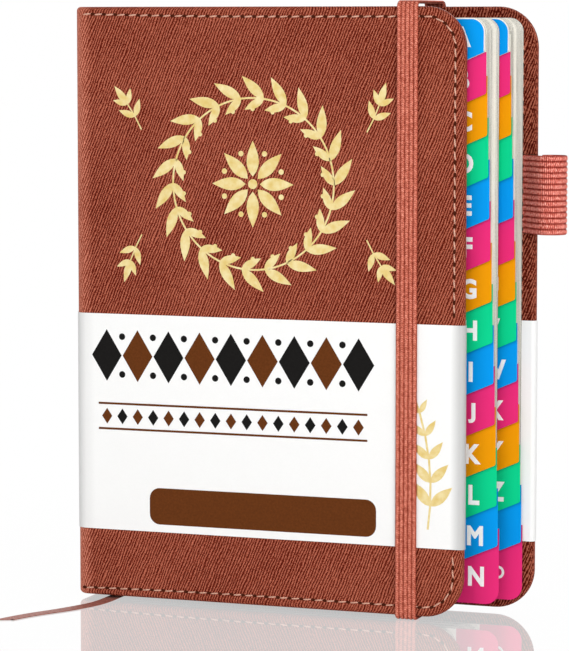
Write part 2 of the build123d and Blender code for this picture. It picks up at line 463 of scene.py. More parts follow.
def jointLine(face, inward, out, look):
    # from the cover to the spine, round the case's edge, standing out by some distance
    radius = abs((spineFront if inward > 0 else spineBack) - face)
    centre = Vector((spineFace + radius, face + inward * radius))
    line = []
    for k in range(look["flatSteps"]):
        share = k / look["flatSteps"]
        line.append((Vector((jointEdge + (centre.x - jointEdge) * share, face)), Vector((0, -inward))))
    for k in range(look["arcSteps"] + 1):
        turn = math.pi / 2 * k / look["arcSteps"]
        outward = Vector((-math.sin(turn), -inward * math.cos(turn)))
        line.append((centre + outward * radius, outward))
    return [(p + n * out, n) for p, n in line]


def jointSkin(name, face, inward, look):
    line = jointLine(face, inward, 0.0, look)
    heights = []
    for k in range(look["rollSteps"] + 1):
        turn = math.pi / 2 * k / look["rollSteps"]
        heights.append((look["roll"] * (1 - math.sin(turn)), look["roll"] * (1 - math.cos(turn))))
    rows = [(coverLow + dip, inset) for inset, dip in heights]
    rows += [(coverLow + 2 * look["roll"], 0.0), (coverTop - 2 * look["roll"], 0.0)]
    rows += [(coverTop - dip, inset) for inset, dip in reversed(heights)]
    rings = []
    for p, n in line:
        outer = [(*(p - n * inset), z) for z, inset in rows]
        inner = [(*(p - n * max(look["skin"], inset + look["lip"])), z) for z, inset in reversed(rows)]
        rings.append(outer + inner)
    points, polygons = tubeGrid(rings)
    piece = meshPiece(name, points, polygons, [skinFinish])
    blendJoint(piece)
    return piece


def blendJoint(piece):
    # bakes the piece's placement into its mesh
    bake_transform(piece)


def jointPaper(name, face, inward, finish, look):
    gap = abs(bandFace - frontFace)
    paper = corner("band_spine", True).x - corner("band_spine", False).x
    rings = []
    outer, inner = (jointLine(face, inward, out, look) for out in (gap, gap - paper))
    for (p, n), (q, m) in zip(outer, inner):
        rings.append([(*p, bandLow), (*p, bandTop), (*q, bandTop), (*q, bandLow)])
    points, polygons = tubeGrid(rings)
    piece = meshPiece(name, points, polygons, [finish], smooth=False)
    blendJoint(piece)
    return piece


frontJoint = jointSkin("frontJointSkin", frontFace, 1, jointLook)
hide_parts("front_joint_leather")
backJoint = jointSkin("backJointSkin", backFace, -1, jointLook)
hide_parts("back_joint_leather")
print("cover skin dressed")

# stitching near the covers' edges

stitchLook = {
    "inset": 0.0032,
    "backInset": 0.0046,
    "drawIn": 0.0010,
    "drawReach": 0.07,
    "pitch": 0.0040,
    "length": 0.0030,
    "radius": 0.00026,
    "rise": 0.00012,
    "rings": 7,
    "sides": 6,
    "taper": 0.45,
    "dip": 0.7,
    "slant": 6.0,
    "holeLong": 0.0016,
    "holeHigh": 0.0010,
    "holeSides": 10,
    "holeProud": 0.00003,
    "bandClear": 0.002,
    "spineClear": 0.0035,
    "strand": 0.0006,
    "strandShare": 0.2,
    "thread": (0.78, 0.45, 0.33),
    "threadDark": (0.36, 0.14, 0.09),
    # painted shade for the needle holes
    "hole": (0.035, 0.008, 0.004),
    "cornerRadius": 0.013,
}


def threadFinish(look):
    finish, (where, x, y, z) = newFinish("stitchThread")
    tone = (x + z).wave(look["strand"]) * look["strandShare"] + noise(where, 1500.0, 3.0)
    colour = ramp(tone, [(0.2, look["threadDark"]), (0.6, look["thread"])])
    return coat(finish, colour, roughness=0.6, relief=(tone, 0.5, 0.00008))


def holeFinish(look):
    finish, (where, x, y, z) = newFinish("stitchHole")
    # painted shade: a near-black disc standing for the needle hole's recess
    colour = ramp(noise(where, 2500.0), [(0.2, look["hole"]), (0.9, shaded(look["hole"], 3))])
    return coat(finish, colour, roughness=0.9, specular=0.0)


stitchFinishes = [threadFinish(stitchLook), holeFinish(stitchLook)]


def drawnIn(x, look):
    # towards the spine the seam runs nearer to the edge
    share = max(0.0, 1 - (x - spineFace) / look["drawReach"])
    return look["drawIn"] * share * share


def seamPlaces(left, right, inset, look):
    # evenly spaced places along the head, the fore-edge and the tail, with the seam's direction
    radius = look["cornerRadius"] - inset
    top, low, edge = coverTop - inset, coverLow + inset, right - inset
    bend = edge - radius
    straight = bend - left
    side = top - low - 2 * radius
    arc = radius * math.pi / 2
    total = 2 * straight + side + 2 * arc
    count = int(total / look["pitch"])
    places = []
    for k in range(count):
        s = (k + 0.5) * total / count
        if s < straight:
            place, heading = (left + s, top + drawnIn(left + s, look)), (1, 0)
        elif s < straight + arc:
            turn = (s - straight) / radius
            place = (bend + radius * math.sin(turn), top - radius + radius * math.cos(turn))
            heading = (math.cos(turn), -math.sin(turn))
        elif s < straight + arc + side:
            place, heading = (edge, top - radius - (s - straight - arc)), (0, -1)
        elif s < straight + 2 * arc + side:
            turn = (s - straight - arc - side) / radius
            place = (bend + radius * math.cos(turn), low + radius - radius * math.sin(turn))
            heading = (-math.sin(turn), -math.cos(turn))
        else:
            x = bend - (s - straight - 2 * arc - side)
            place, heading = (x, low - drawnIn(x, look)), (-1, 0)
        places.append((Vector(place), Vector(heading)))
    return places


def addStitch(points, polygons, finishOf, place, heading, face, outward, look):
    # one thread that dips into the skin at both ends, and a dark needle hole after it, a disc of painted
    # shade
    slant = math.radians(look["slant"])
    aim = Vector((heading.x * math.cos(slant) - heading.y * math.sin(slant),
                  heading.x * math.sin(slant) + heading.y * math.cos(slant)))
    across = Vector((-aim.y, aim.x))
    base, rings, sides = len(points), look["rings"], look["sides"]
    for r in range(rings):
        t = 2 * r / (rings - 1) - 1
        swell = look["radius"] * (1 - look["taper"] * t * t)
        lift = look["rise"] * (1 - t * t) - look["radius"] * look["dip"] * t * t
        middle = place + aim * t * look["length"] / 2
        for k in range(sides):
            turn = 2 * math.pi * k / sides
            p = middle + across * math.cos(turn) * swell
            points.append((p.x, face + outward * (lift + math.sin(turn) * swell), p.y))
    for r in range(rings - 1):
        for k in range(sides):
            a, b = base + r * sides + k, base + r * sides + (k + 1) % sides
            polygons.append((a, b, b + sides, a + sides))
            finishOf.append(0)
    middle = place + heading * look["pitch"] / 2
    base = len(points)
    aside = Vector((-heading.y, heading.x))
    for k in range(look["holeSides"]):
        turn = 2 * math.pi * k / look["holeSides"]
        p = middle + heading * math.cos(turn) * look["holeLong"] / 2
        p += aside * math.sin(turn) * look["holeHigh"] / 2
        points.append((p.x, face + outward * look["holeProud"], p.y))
    polygons.append(tuple(base + k for k in range(look["holeSides"])))
    finishOf.append(1)


def seam(name, right, inset, face, outward, body, look):
    points, polygons, finishOf = [], [], []
    for place, heading in seamPlaces(jointEdge, right, inset, look):
        hidden = bandLow - look["bandClear"] < place.y < bandTop + look["bandClear"]  # under the paper band
        if not hidden:
            addStitch(points, polygons, finishOf, place, heading, face, outward, look)
    piece = meshPiece(name, points, polygons, stitchFinishes, finishOf)
    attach(piece, body)


seam("frontSeamOuter", frontEdge, stitchLook["inset"], frontFace, -1, "front_cover", stitchLook)
seam("frontSeamInner", frontEdge, stitchLook["inset"], frontInside, 1, "front_cover", stitchLook)
seam("backSeamOuter", backEdge, stitchLook["backInset"], backFace, 1, "back_cover", stitchLook)
seam("backSeamInner", backEdge, stitchLook["backInset"], backInside, -1, "back_cover", stitchLook)


def jointSeam(name, inset, face, inward, look):
    # the last stitches, on the skin that bends
    points, polygons, finishOf = [], [], []
    for height, side in ((coverTop - inset, 1), (coverLow + inset, -1)):
        x = jointEdge - look["pitch"] / 2
        while x > spineFace + look["spineClear"]:
            place = Vector((x, height + side * drawnIn(x, look)))
            addStitch(points, polygons, finishOf, place, Vector((side, 0)), face, -inward, look)
            x -= look["pitch"]
    piece = meshPiece(name, points, polygons, stitchFinishes, finishOf)
    blendJoint(piece)


jointSeam("frontJointSeam", stitchLook["inset"], frontFace, 1, stitchLook)
jointSeam("backJointSeam", stitchLook["backInset"], backFace, -1, stitchLook)
print("seams sewn")

# paper: belly band, leaves, endpapers

paperLook = {
    "band": (0.93, 0.93, 0.92),
    "page": (0.93, 0.905, 0.83),
    "pageDark": (0.79, 0.75, 0.65),
    # painted shade where the band folds round the fore-edges and the spine
    "foldShade": 0.75,
    "foldReach": 0.0042,
    "backSoft": 0.0032,
    "spineShade": 0.34,
    "spineReach": 0.0072,
    "paintedShadeGrey": 0.35,
    "edgeGrey": (0.075, 0.073, 0.060),
    "edgePitch": 0.0044,
    "edgeSway": 0.9,
    "edgeRun": 5.0,
    "rule": (0.55, 0.60, 0.66),
    "rulePitch": 0.0075,
    "ruleThick": 0.00022,
    "ruleMargin": 0.012,
    "end": (0.66, 0.53, 0.38),
    "board": (0.33, 0.25, 0.17),
    "fibreScale": 2200.0,
    "cloudScale": 45.0,
    "cloudShare": 0.22,
    "relief": 0.00004,
}


def fibre(where, light, dark, look=paperLook):
    fine = noise(where, look["fibreScale"], 4.0, 0.7)
    tone = fine * (1 - look["cloudShare"]) + noise(where, look["cloudScale"]) * look["cloudShare"]
    return ramp(tone, [(0.25, dark), (0.6, light)]), fine


def plainPaper(name, light, shade, roughness, strength):
    finish, (where, x, y, z) = newFinish(name)
    colour, fine = fibre(where, light, shaded(light, shade))
    return coat(finish, colour, roughness, specular=0.12, relief=(fine, strength, paperLook["relief"]))


def bandPaper(look):
    # smooth white stock, with painted shade that greys it where it is folded round the edges
    finish, (where, x, y, z) = newFinish("bandPaper")
    colour, fine = fibre(where, look["band"], shaded(look["band"], 0.97))
    edge = (y > 0.0) * (backEdge + look["backSoft"] - frontEdge) + frontEdge
    # painted shade, fading in from the fold at each edge
    for away, fold in ((edge - x, "fold"), (x - spineFace, "spine")):
        near = away.atLeast(0.0).fading(look[fold + "Reach"])
        colour = mixColour(near * look[fold + "Shade"], colour, shaded(look["band"], look["paintedShadeGrey"]))
    return coat(finish, colour, roughness=0.42, specular=0.12, relief=(fine, 0.08, look["relief"]))


bandFinish = bandPaper(paperLook)
endFinish = plainPaper("endpaper", paperLook["end"], 0.85, 0.8, 0.3)
boardFinish = plainPaper("greyBoard", paperLook["board"], 0.7, 0.9, 0.5)

pageLow = corner("tab_a", False).z
pageTop = corner("tab_a", True).z
binding = corner("tab_a", False).x


def ruledColour(where, x, z, look):
    # cream stock with pale writing lines inside the margins
    colour, fine = fibre(where, look["page"], look["pageDark"])
    margin = look["ruleMargin"]
    line = (z - pageLow) % look["rulePitch"] < look["ruleThick"]
    line = line * z.within(pageLow + margin, pageTop - margin)
    line = line * x.within(binding + margin, frontEdge - 2 * margin)
    return mixColour(line, colour, look["rule"]), fine


def cutEdgeShade(y, z, colour, look):
    # shadow lines between the sheets, on the cut edges only
    cutEdge = abs(facingY(y.tree)) < 0.5
    place = y / look["edgePitch"]
    sway = noise(join3(0.3, place, z * look["edgeRun"]), 1.0, 1.0)
    lines = (sway * look["edgeSway"] + place).wave() * 0.5 + 0.5
    lines = ramp(lines, [(0.05, (0.25, 0.25, 0.25)), (0.45, (1, 1, 1))])
    return mixColour(cutEdge * lines, colour, look["edgeGrey"])


def pagePaper(look):
    finish, (where, x, y, z) = newFinish("pagePaper")
    colour, fine = ruledColour(where, x, z, look)
    colour = cutEdgeShade(y, z, colour, look)
    return coat(finish, colour, roughness=0.75, specular=0.1, relief=(fine, 0.2, look["relief"]))


pageFinish = pagePaper(paperLook)
for node in ("band_front", "band_back", "band_spine"):
    dressNode(node, bandFinish)
for node in ("front_pastedown", "back_pastedown"):
    dressNode(node, endFinish)
for node in ("front_board", "back_board", "spine_board"):
    dressNode(node, boardFinish)
for node in ("front_flyleaf", "back_flyleaf"):
    dressNode(node, pageFinish)
frontBandJoint = jointPaper("frontJointBand", frontFace, 1, bandFinish, jointLook)
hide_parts("band_front_joint")
backBandJoint = jointPaper("backJointBand", backFace, -1, bandFinish, jointLook)
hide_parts("band_back_joint")
print("paper dressed")

# index leaves: printed tabs, letters and the loose sheets behind each

tabLook = {
    "names": [chr(ord("a") + k) for k in range(26)] + ["blank", "ring"],
    "rows": 14,
    "groupSize": 4,
    "depth": 0.014,
    "firstTab": 0.0105,
    "lastTab": 0.0190,
    "headCorner": 0.0045,
    "slant": 23.5,
    "overlap": 0.0060,
    "rim": 0.0004,
    # painted shadow along the foot of the tab before
    "shadeReach": 0.0016,
    "shadeDepth": 0.30,
    # painted shadow of the front cover on the tabs
    "paintedShadowReach": 0.0085,
    "paintedShadowShare": 0.42,
    "inks": [(0.0004, 0.338, 0.89), (0.86, 0.029, 0.202), (0.90, 0.348, 0.0008), (0.0025, 0.685, 0.293)],
    "inkDepth": 0.8,
    "paintedShadowInk": 0.45,
    "shadeInk": 0.25,
}


def tabFoot(row):
    # height of a tab's foot at its outer edge
    pitch = (pageTop - pageLow - tabLook["firstTab"] - tabLook["lastTab"]) / (tabLook["rows"] - 2)
    return pageTop - tabLook["firstTab"] - (row - 1) * pitch


def tabFinish(name, edge, row, ink, look):
    # cream leaf with one printed block, which starts above the foot of the tab before
    finish, (where, x, y, z) = newFinish("tabPrint_" + name)
    colour, fine = ruledColour(where, x, z, paperLook)
    colour = cutEdgeShade(y, z, colour, paperLook)
    slope = math.tan(math.radians(look["slant"]))
    foot = tabFoot(row - 1) - edge * slope
    block = x > edge - look["depth"]
    printed = mixColour(fine * 0.12 + 0.9, shaded(ink, look["inkDepth"]), ink)
    # painted shadow of the front cover: the ink is darker away from the outer edge
    inner = (edge - x) / look["paintedShadowReach"]
    inner = (inner * inner).atMost(1.0)
    printed = mixColour(inner * look["paintedShadowShare"], printed, shaded(ink, look["paintedShadowInk"]))
    if row > 1:
        overlap = look["overlap"] if row > 2 else 0.0
        block = block * (z < x * slope + (foot + overlap))
        # painted shadow: the tab before lies on this one and darkens it along its slanted foot
        near = (x * slope + foot - z).atLeast(0.0).fading(look["shadeReach"]) ** 2.0
        printed = mixColour(near * look["shadeDepth"], printed, shaded(ink, look["shadeInk"]))
    else:
        # a pale rim round the head corner
        r = look["headCorner"]
        rightward = (x - (edge - r)).atLeast(0.0)
        upward = (z - (pageTop - r)).atLeast(0.0)
        block = block * ((rightward * rightward + upward * upward).root() < r - look["rim"])
    colour = mixColour(block, colour, printed)
    return coat(finish, colour, roughness=0.55, specular=0.06, relief=(fine, 0.12, 0.00003))


for index, name in enumerate(tabLook["names"]):
    row = index % tabLook["rows"] + 1
    ink = tabLook["inks"][(row - 1) % 4]
    dressNode("tab_" + name, tabFinish(name, corner("tab_" + name, True).x, row, ink, tabLook))

leafLook = {
    "sheets": 4,
    "fill": 0.86,
    "corner": 0.0045,
    "tabCorner": 0.001,
    "cornerSteps": 5,
    "jitter": 0.00007,
}


def arcPoints(cx, cz, radius, start, end, steps):
    turns = [math.radians(start + (end - start) * k / steps) for k in range(steps + 1)]
    return [(cx + radius * math.cos(turn), cz + radius * math.sin(turn)) for turn in turns]


def sheetOutline(edge, row, low, top, look):
    slope = math.tan(math.radians(tabLook["slant"]))
    foot, step = tabFoot(row), edge - tabLook["depth"]
    r, n = look["corner"], look["cornerSteps"]
    outline = [(binding, low)]
    if row < tabLook["rows"]:
        t = look["tabCorner"]
        outline += arcPoints(step - r, low + r, r, -90, 0, n)
        outline.append((step, foot - tabLook["depth"] * slope))
        outline += [(edge - t, foot - t * slope), (edge - t * 0.3, foot + t * 0.1), (edge, foot + t)]
    else:
        outline += arcPoints(edge - r, low + r, r, -90, 0, n)
    outline += arcPoints(edge - r, top - r, r, 0, 90, n)
    outline.append((binding, top))
    return outline


def leafStacks(look):
    rng = random.Random(7)
    size = tabLook["groupSize"]
    names = tabLook["names"]
    stack = corner("leaves_1", True).y - corner("tab_" + names[size - 1], True).y
    pitch = stack / look["sheets"]
    setback = corner("tab_" + names[size - 1], True).x - corner("leaves_1", True).x
    for group in range(len(names) // size):
        points, polygons = [], []
        for index in range(group * size, (group + 1) * size):
            high = corner("tab_" + names[index], True)
            row = index % tabLook["rows"] + 1
            for k in range(look["sheets"]):
                wobble = [rng.uniform(-look["jitter"], look["jitter"]) for _ in range(3)]
                edge = high.x - setback + wobble[0] - look["jitter"]
                outline = sheetOutline(edge, row, pageLow + abs(wobble[1]), pageTop - abs(wobble[2]), look)
                front = high.y + k * pitch
                back = front + pitch * look["fill"]
                base, count = len(points), len(outline)
                points += [(x, front, z) for x, z in outline] + [(x, back, z) for x, z in outline]
                polygons.append(tuple(range(base, base + count)))
                polygons.append(tuple(reversed(range(base + count, base + 2 * count))))
                for j in range(count):
                    a, b = base + j, base + (j + 1) % count
                    polygons.append((b, a, a + count, b + count))
        piece = meshPiece(f"leafStack{group + 1}", points, polygons, [pageFinish], smooth=False)
        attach(piece, f"leaves_{group + 1}")
        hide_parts(f"leaves_{group + 1}")


leafStacks(leafLook)

letterLook = {
    "capHeight": 0.0064,
    "bold": 0.041,
    "flat": 0.05,
    "narrow": 0.89,
    "inFromEdge": (0.0075, 0.0080),
    "firstDown": 0.0059,
    "pitch": 0.0132,
    "proud": 0.00003,
    "ringOuter": 0.0021,
    "ringInner": 0.0013,
    "ink": (0.97, 0.98, 0.98),
}


def letterInk(look):
    finish, (where, x, y, z) = newFinish("letterInk")
    colour = ramp(noise(where, 2600.0, 3.0), [(0.2, shaded(look["ink"], 0.92)), (0.7, look["ink"])])
    return coat(finish, colour, roughness=0.55)


def letterShape(character, look):
    text = bpy.data.curves.new("letter", "FONT")
    text.body = character
    text.size = 1.0
    text.bevel_depth = look["bold"]
    text.bevel_resolution = 0
    text.resolution_u = 4
    holder = bpy.data.objects.new("letter", text)
    scene.collection.objects.link(holder)
    bpy.context.view_layer.update()
    ready = holder.evaluated_get(bpy.context.evaluated_depsgraph_get())
    shape = bpy.data.meshes.new_from_object(ready)
    bpy.data.objects.remove(holder)
    # only the near half is kept, nearly flat
    points = [(v.co.x, v.co.y, v.co.z * look["flat"]) for v in shape.vertices]
    near = [v.co.z > -1e-5 for v in shape.vertices]
    polygons = [tuple(p.vertices) for p in shape.polygons if all(near[v] for v in p.vertices)]
    return points, polygons


def ringShape(look, steps=28):
    points, polygons = [], []
    for k in range(steps):
        turn = 2 * math.pi * k / steps
        for r in (look["ringOuter"], look["ringInner"]):
            points.append((r * math.cos(turn), r * math.sin(turn), 0.0))
        a, b = 2 * k, 2 * ((k + 1) % steps)
        polygons.append((a, b, b + 1, a + 1))
    return points, polygons


def indexLetters(look):
    finish = letterInk(look)
    tall = [y for x, y, d in letterShape("H", look)[0]]
    scale = look["capHeight"] / (max(tall) - min(tall))
    size = tabLook["groupSize"]
    for group in range(len(tabLook["names"]) // size):
        points, polygons = [], []
        for index in range(group * size, (group + 1) * size):
            name = tabLook["names"][index]
            edge, front = corner("tab_" + name, True).x, corner("tab_" + name, False).y
            row = index % tabLook["rows"] + 1
            inward = look["inFromEdge"][index // tabLook["rows"]]
            middle = Vector((edge - inward, pageTop - look["firstDown"] - (row - 1) * look["pitch"]))
            if name == "blank":
                continue
            if name == "ring":
                flat, faces = ringShape(look)
            else:
                raw, faces = letterShape(name.upper(), look)
                centre = (min(p[0] for p in raw) + max(p[0] for p in raw)) / 2
                lowest, highest = min(p[1] for p in raw), max(p[1] for p in raw)
                tallScale = look["capHeight"] / (highest - lowest)  # one cap height for all, tails drawn in
                wide = scale * look["narrow"]
                flat = [((x - centre) * wide, (y - lowest) * tallScale - look["capHeight"] / 2, d * scale)
                        for x, y, d in raw]
            start = len(points)
            points += [(middle.x + x, front - look["proud"] - d, middle.y + z) for x, z, d in flat]
            polygons += [tuple(start + v for v in face) for face in faces]
        piece = meshPiece(f"indexLetters{group + 1}", points, polygons, [finish], smooth=False)
        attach(piece, f"leaves_{group + 1}")


indexLetters(letterLook)
print("index leaves printed")

# elastic strap: a ribbed knit band round the closed book

strapLook = {
    "ribs": 5,
    "ripple": 0.00024,
    "acrossSteps": 40,
    "bendSteps": 8,
    "longest": 0.006,
    "slitInset": 0.013,
    "tail": 0.0015,
    "tableGap": 0.0002,
    "bend": 0.0018,
    "slitBend": 0.0007,
    "selvedge": 0.0004,
    "selvedgeThin": 0.35,
    "flattened": 0.05,
    "liesOff": 0.0008,
    "loopPitch": 0.00070,
    "chevron": 1.4,
    "loopContrast": 0.10,
    "valley": 0.36,
    "dark": (0.22, 0.030, 0.015),
    "middle": (0.605, 0.156, 0.100),
    "light": (0.94, 0.415, 0.31),
}


def knitElastic(name, look, ribStart, ribPitch, along):
    # herringbone loops that lie along each rib, with painted shade in the valley between ribs
    finish, (where, x, y, z) = newFinish(name)
    if along == "z":
        across, run = x, z
    else:
        band = x.tree.nodes.new("ShaderNodeAttribute")
        band.attribute_name = along
        across, run = z, Value(x.tree, band.outputs["Fac"])
    peak = abs(((across - ribStart) / ribPitch).fract() - 0.5)
    loop = (run / look["loopPitch"] + peak * look["chevron"]).wave()
    tone = loop * look["loopContrast"] + noise(where, 1600.0, 3.0, 0.65)
    # painted shade in the valleys between ribs
    tone = tone - (peak * 2.0) ** 3.0 * look["valley"]
    colour = ramp(tone, [(0.2, look["dark"]), (0.5, look["middle"]), (0.8, look["light"])])
    return coat(finish, colour, roughness=0.8, specular=0.05, relief=(tone, 0.6, 0.00012), sheen=0.03)


def cornered(points, radii, steps):
    # a flat line through points with its corners rounded
    line = [Vector(points[0])]
    for before, at, after, radius in zip(points, points[1:], points[2:], radii):
        at = Vector(at)
        back = (Vector(before) - at).normalized()
        ahead = (Vector(after) - at).normalized()
        half = back.angle(ahead) / 2
        reach = radius / math.tan(half)
        centre = at + (back + ahead).normalized() * radius / math.sin(half)
        start, end = at + back * reach - centre, at + ahead * reach - centre
        for k in range(steps + 1):
            share = k / steps
            spoke = (start * (1 - share) + end * share).normalized() * radius
            line.append(centre + spoke)
    line.append(Vector(points[-1]))
    return line


def divided(line, longest):
    # long straight runs get points between, so the bends' shading stays at the bends
    points = []
    for a, b in zip(line, line[1:]):
        count = math.ceil((b - a).length / longest)
        points += [a + (b - a) * k / count for k in range(count)]
    return points + [line[-1]]


def strapBand(look):
    low, high = corner("elastic_strap", False), corner("elastic_strap", True)
    wide = high.x - low.x
    thick = coverLow - low.z - look["tableGap"]
    half = thick / 2
    finish = knitElastic("strapKnit", look, low.x, wide / look["ribs"], "z")
    slitLow, slitHigh = coverLow + look["slitInset"], coverTop - look["slitInset"]
    inside = backFace - look["tail"]
    front, rear, top = low.y + half, high.y - half, high.z - half
    loop = [(inside, slitLow), (rear, slitLow), (rear, half), (front, half),
            (front, top), (rear, top), (rear, slitHigh), (inside, slitHigh)]
    radii = [look["slitBend"], *[look["bend"]] * 4, look["slitBend"]]
    line = cornered(loop, radii, look["bendSteps"])
    line = divided(line, look["longest"])
    rings = []
    for k, p in enumerate(line):
        ahead = (line[min(k + 1, len(line) - 1)] - line[max(k - 1, 0)]).normalized()
        outward = Vector((ahead.y, -ahead.x))
        ring = []
        for side in (1, -1):
            for step in range(look["acrossSteps"] + 1):
                share = step / look["acrossSteps"]
                share = share if side > 0 else 1 - share
                wave = abs(math.sin(math.pi * look["ribs"] * share))
                reach = half - look["ripple"] * (1 - wave)
                edge = min(share, 1 - share) * wide
                reach *= min(1.0, look["selvedgeThin"] + edge / look["selvedge"])
                q = p + outward * reach * side
                ring.append((low.x + wide * share, q.x, q.y))
        rings.append(ring)
    points, polygons = tubeGrid(rings)
    piece = meshPiece("strapBand", points, polygons, [finish])
    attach(piece, "strap")
    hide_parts("elastic_strap")
    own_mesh(piece)


strapBand(strapLook)
print("strap wrapped")

# pen loop: corded elastic folded into a ring

loopLook = {
    "ribs": 14,
    "ripple": 0.00040,
    "loopPitch": 0.00062,
    "chevron": 0.9,
    "loopContrast": 0.16,
    "valley": 0.42,
    "rise": 0.0034,
    "footBack": 0.0008,
    "ridge": 0.7,
    "rowsPerRib": 8,
    "ringSteps": 56,
    "dark": (0.20, 0.020, 0.012),
    "middle": (0.755, 0.158, 0.115),
    "light": (1.0, 0.60, 0.52),
}


def penLoop(look):
    low, high = corner("pen_loop", False), corner("pen_loop", True)
    outer = (high.y - low.y) / 2
    bore = frame["record"]["mounts"][0]["dims"]["r_mm"] / 1000
    thick = outer - bore
    radius = bore + thick / 2
    centre = Vector((high.x - outer, (low.y + high.y) / 2))
    tailY = backInside + thick / 2
    finish = knitElastic("loopKnit", look, low.z, (high.z - low.z) / look["ribs"], "bandRun")
    meet = math.degrees(math.asin((tailY - centre.y) / radius))
    # the band rises straight from its seam and meets the ring without a kink
    foot = Vector((backEdge - look["rise"], tailY))
    away = centre - foot
    first = 270.0 + math.degrees(math.atan2(away.y, away.x) - math.asin(radius / away.length))
    last = 540.0 - meet
    meets = centre + Vector((math.cos(math.radians(first)), math.sin(math.radians(first)))) * radius
    line = [Vector((low.x, tailY)), foot - Vector((look["footBack"], 0))]
    line += [foot.lerp(meets, t) for t in (0.1, 0.3, 0.5, 0.7, 0.9)]
    for k in range(look["ringSteps"] + 1):
        turn = math.radians(first + (last - first) * k / look["ringSteps"])
        line.append(centre + Vector((math.cos(turn), math.sin(turn))) * radius)
    rows = look["ribs"] * look["rowsPerRib"]
    rings = []
    for k, p in enumerate(line):
        ahead = (line[min(k + 1, len(line) - 1)] - line[max(k - 1, 0)]).normalized()
        outward = Vector((ahead.y, -ahead.x))
        ring = []
        for side in (1, -1):
            for step in range(rows + 1):
                share = step / rows if side > 0 else 1 - step / rows
                wave = abs(math.sin(math.pi * look["ribs"] * share))
                reach = thick / 2 - look["ripple"] * (1 - wave ** look["ridge"])
                q = p + outward * reach * side
                ring.append((q.x, q.y, low.z + (high.z - low.z) * share))
        rings.append(ring)
    points, polygons = tubeGrid(rings)
    piece = meshPiece("penLoopBand", points, polygons, [finish])
    runs = [0.0]
    for a, b in zip(line, line[1:]):
        runs.append(runs[-1] + (b - a).length)
    bandRun = piece.data.attributes.new("bandRun", "FLOAT", "POINT")
    for k, value in enumerate(bandRun.data):
        value.value = runs[k // len(rings[0])]
    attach(piece, "back_cover")
    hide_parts("pen_loop")


penLoop(loopLook)
print("pen loop folded")

# cloth at the binding

clothLook = {
    "red": (0.33, 0.06, 0.035),
    "cream": (0.80, 0.72, 0.58),
    "stripe": 0.0016,
    "soil": (0.2, 0.1, 0.06),
    "lining": (0.72, 0.68, 0.58),
    "mesh": 0.0007,
}


def endBandCloth(look):
    finish, (where, x, y, z) = newFinish("endBandCloth")
    fine = noise(where, 1800.0, 3.0)
    colour = mixColour((y / look["stripe"]).fract() > 0.5, look["red"], look["cream"])
    colour = mixColour(fine * 0.35, colour, look["soil"])
    return coat(finish, colour, roughness=0.7, relief=(fine, 0.5, 0.0001))


def liningCloth(look):
    finish, (where, x, y, z) = newFinish("liningCloth")
    net = y.wave(look["mesh"]).atLeast(z.wave(look["mesh"]))
    colour = ramp(net, [(0.0, shaded(look["lining"], 0.7)), (0.9, look["lining"])])
    return coat(finish, colour, roughness=0.85, relief=(net, 0.4, 0.0001))


endCloth = endBandCloth(clothLook)
dressNode("head_band", endCloth)
dressNode("tail_band", endCloth)
dressNode("spine_lining", liningCloth(clothLook))

# foil on the front cover: a wreath of leaves round a rosette

foilLook = {
    "centre": (0.0625, 0.1365),
    "radius": 0.0275,
    "sprays": 22,
    "leafLong": 0.0105,
    "leafWide": 0.0034,
    "stem": 0.0006,
    "leafTurn": 0.95,
    "smallLong": 0.72,
    "smallWide": 0.8,
    "berry": 0.0009,
    "berryIn": 0.0035,
    "berrySmall": 0.8,
    "petals": 8,
    "petalRoot": 0.0024,
    "petalLong": 0.0115,
    "petalWide": 0.0042,
    "petalBerry": 0.0105,
    "eye": 0.0016,
    "sprigAt": (0.0385, 0.017),
    "sprigLean": 28,
    "sprigSize": 0.72,
    "sprigStep": 0.62,
    "sprigShrink": 0.12,
    "sprigSpread": 0.75,
    "sprigLeaf": (0.8, 0.9),
    "sprigCurl": 0.09,
    "proud": 0.00004,
    "gold": (0.84, 0.62, 0.20),
    "pale": (0.95, 0.82, 0.46),
}


def goldFoil(name, look):
    finish, (where, x, y, z) = newFinish(name)
    press = noise(where, 420.0, 3.0)
    colour = ramp(press, [(0.3, look["gold"]), (0.75, look["pale"])])
    return coat(finish, colour, roughness=press * 0.25 + 0.22, relief=(press, 0.15, 0.00005), metal=0.75)


def onCircle(centre, radius, turn):
    return centre[0] + radius * math.cos(turn), centre[1] + radius * math.sin(turn)


class FlatArt:
    # collects flat shapes on an upright plane
    def __init__(self, face):
        self.face, self.points, self.polygons = face, [], []

    def shape(self, outline):
        base = len(self.points)
        layer = self.face - len(self.polygons) % 12 * 2e-6  # shapes that cross never share a plane
        self.points += [(x, layer, z) for x, z in outline]
        self.polygons.append(tuple(range(base, base + len(outline))))

    def blade(self, root, aim, long, wide, steps=7):
        # a pointed leaf that starts at its root
        heading = Vector((math.cos(aim), math.sin(aim)))
        aside = Vector((-heading.y, heading.x))
        rim = [(k, 1) for k in range(steps + 1)] + [(k, -1) for k in range(steps - 1, 0, -1)]
        outline = []
        for k, side in rim:
            swell = wide / 2 * math.sin(math.pi * (k / steps) ** 0.8)
            outline.append(tuple(Vector(root) + heading * long * k / steps + aside * swell * side))
        self.shape(outline)

    def dot(self, centre, radius, steps=14):
        self.shape([onCircle(centre, radius, 2 * math.pi * k / steps) for k in range(steps)])

    def hoop(self, centre, radius, wide, steps=96):
        inner, outer = (arcPoints(*centre, radius + side * wide / 2, 0, 360, steps) for side in (-1, 1))
        for k in range(steps):
            self.shape([inner[k], outer[k], outer[k + 1], inner[k + 1]])

    def bar(self, low, high):
        self.shape([low, (high[0], low[1]), high, (low[0], high[1])])

    def lozenge(self, centre, wide, tall):
        x, z = centre
        self.shape([(x - wide / 2, z), (x, z - tall / 2), (x + wide / 2, z), (x, z + tall / 2)])

    def piece(self, name, finish, body, slot):
        made = meshPiece(name, self.points, self.polygons, [finish], smooth=False)
        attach(made, body)
        return made


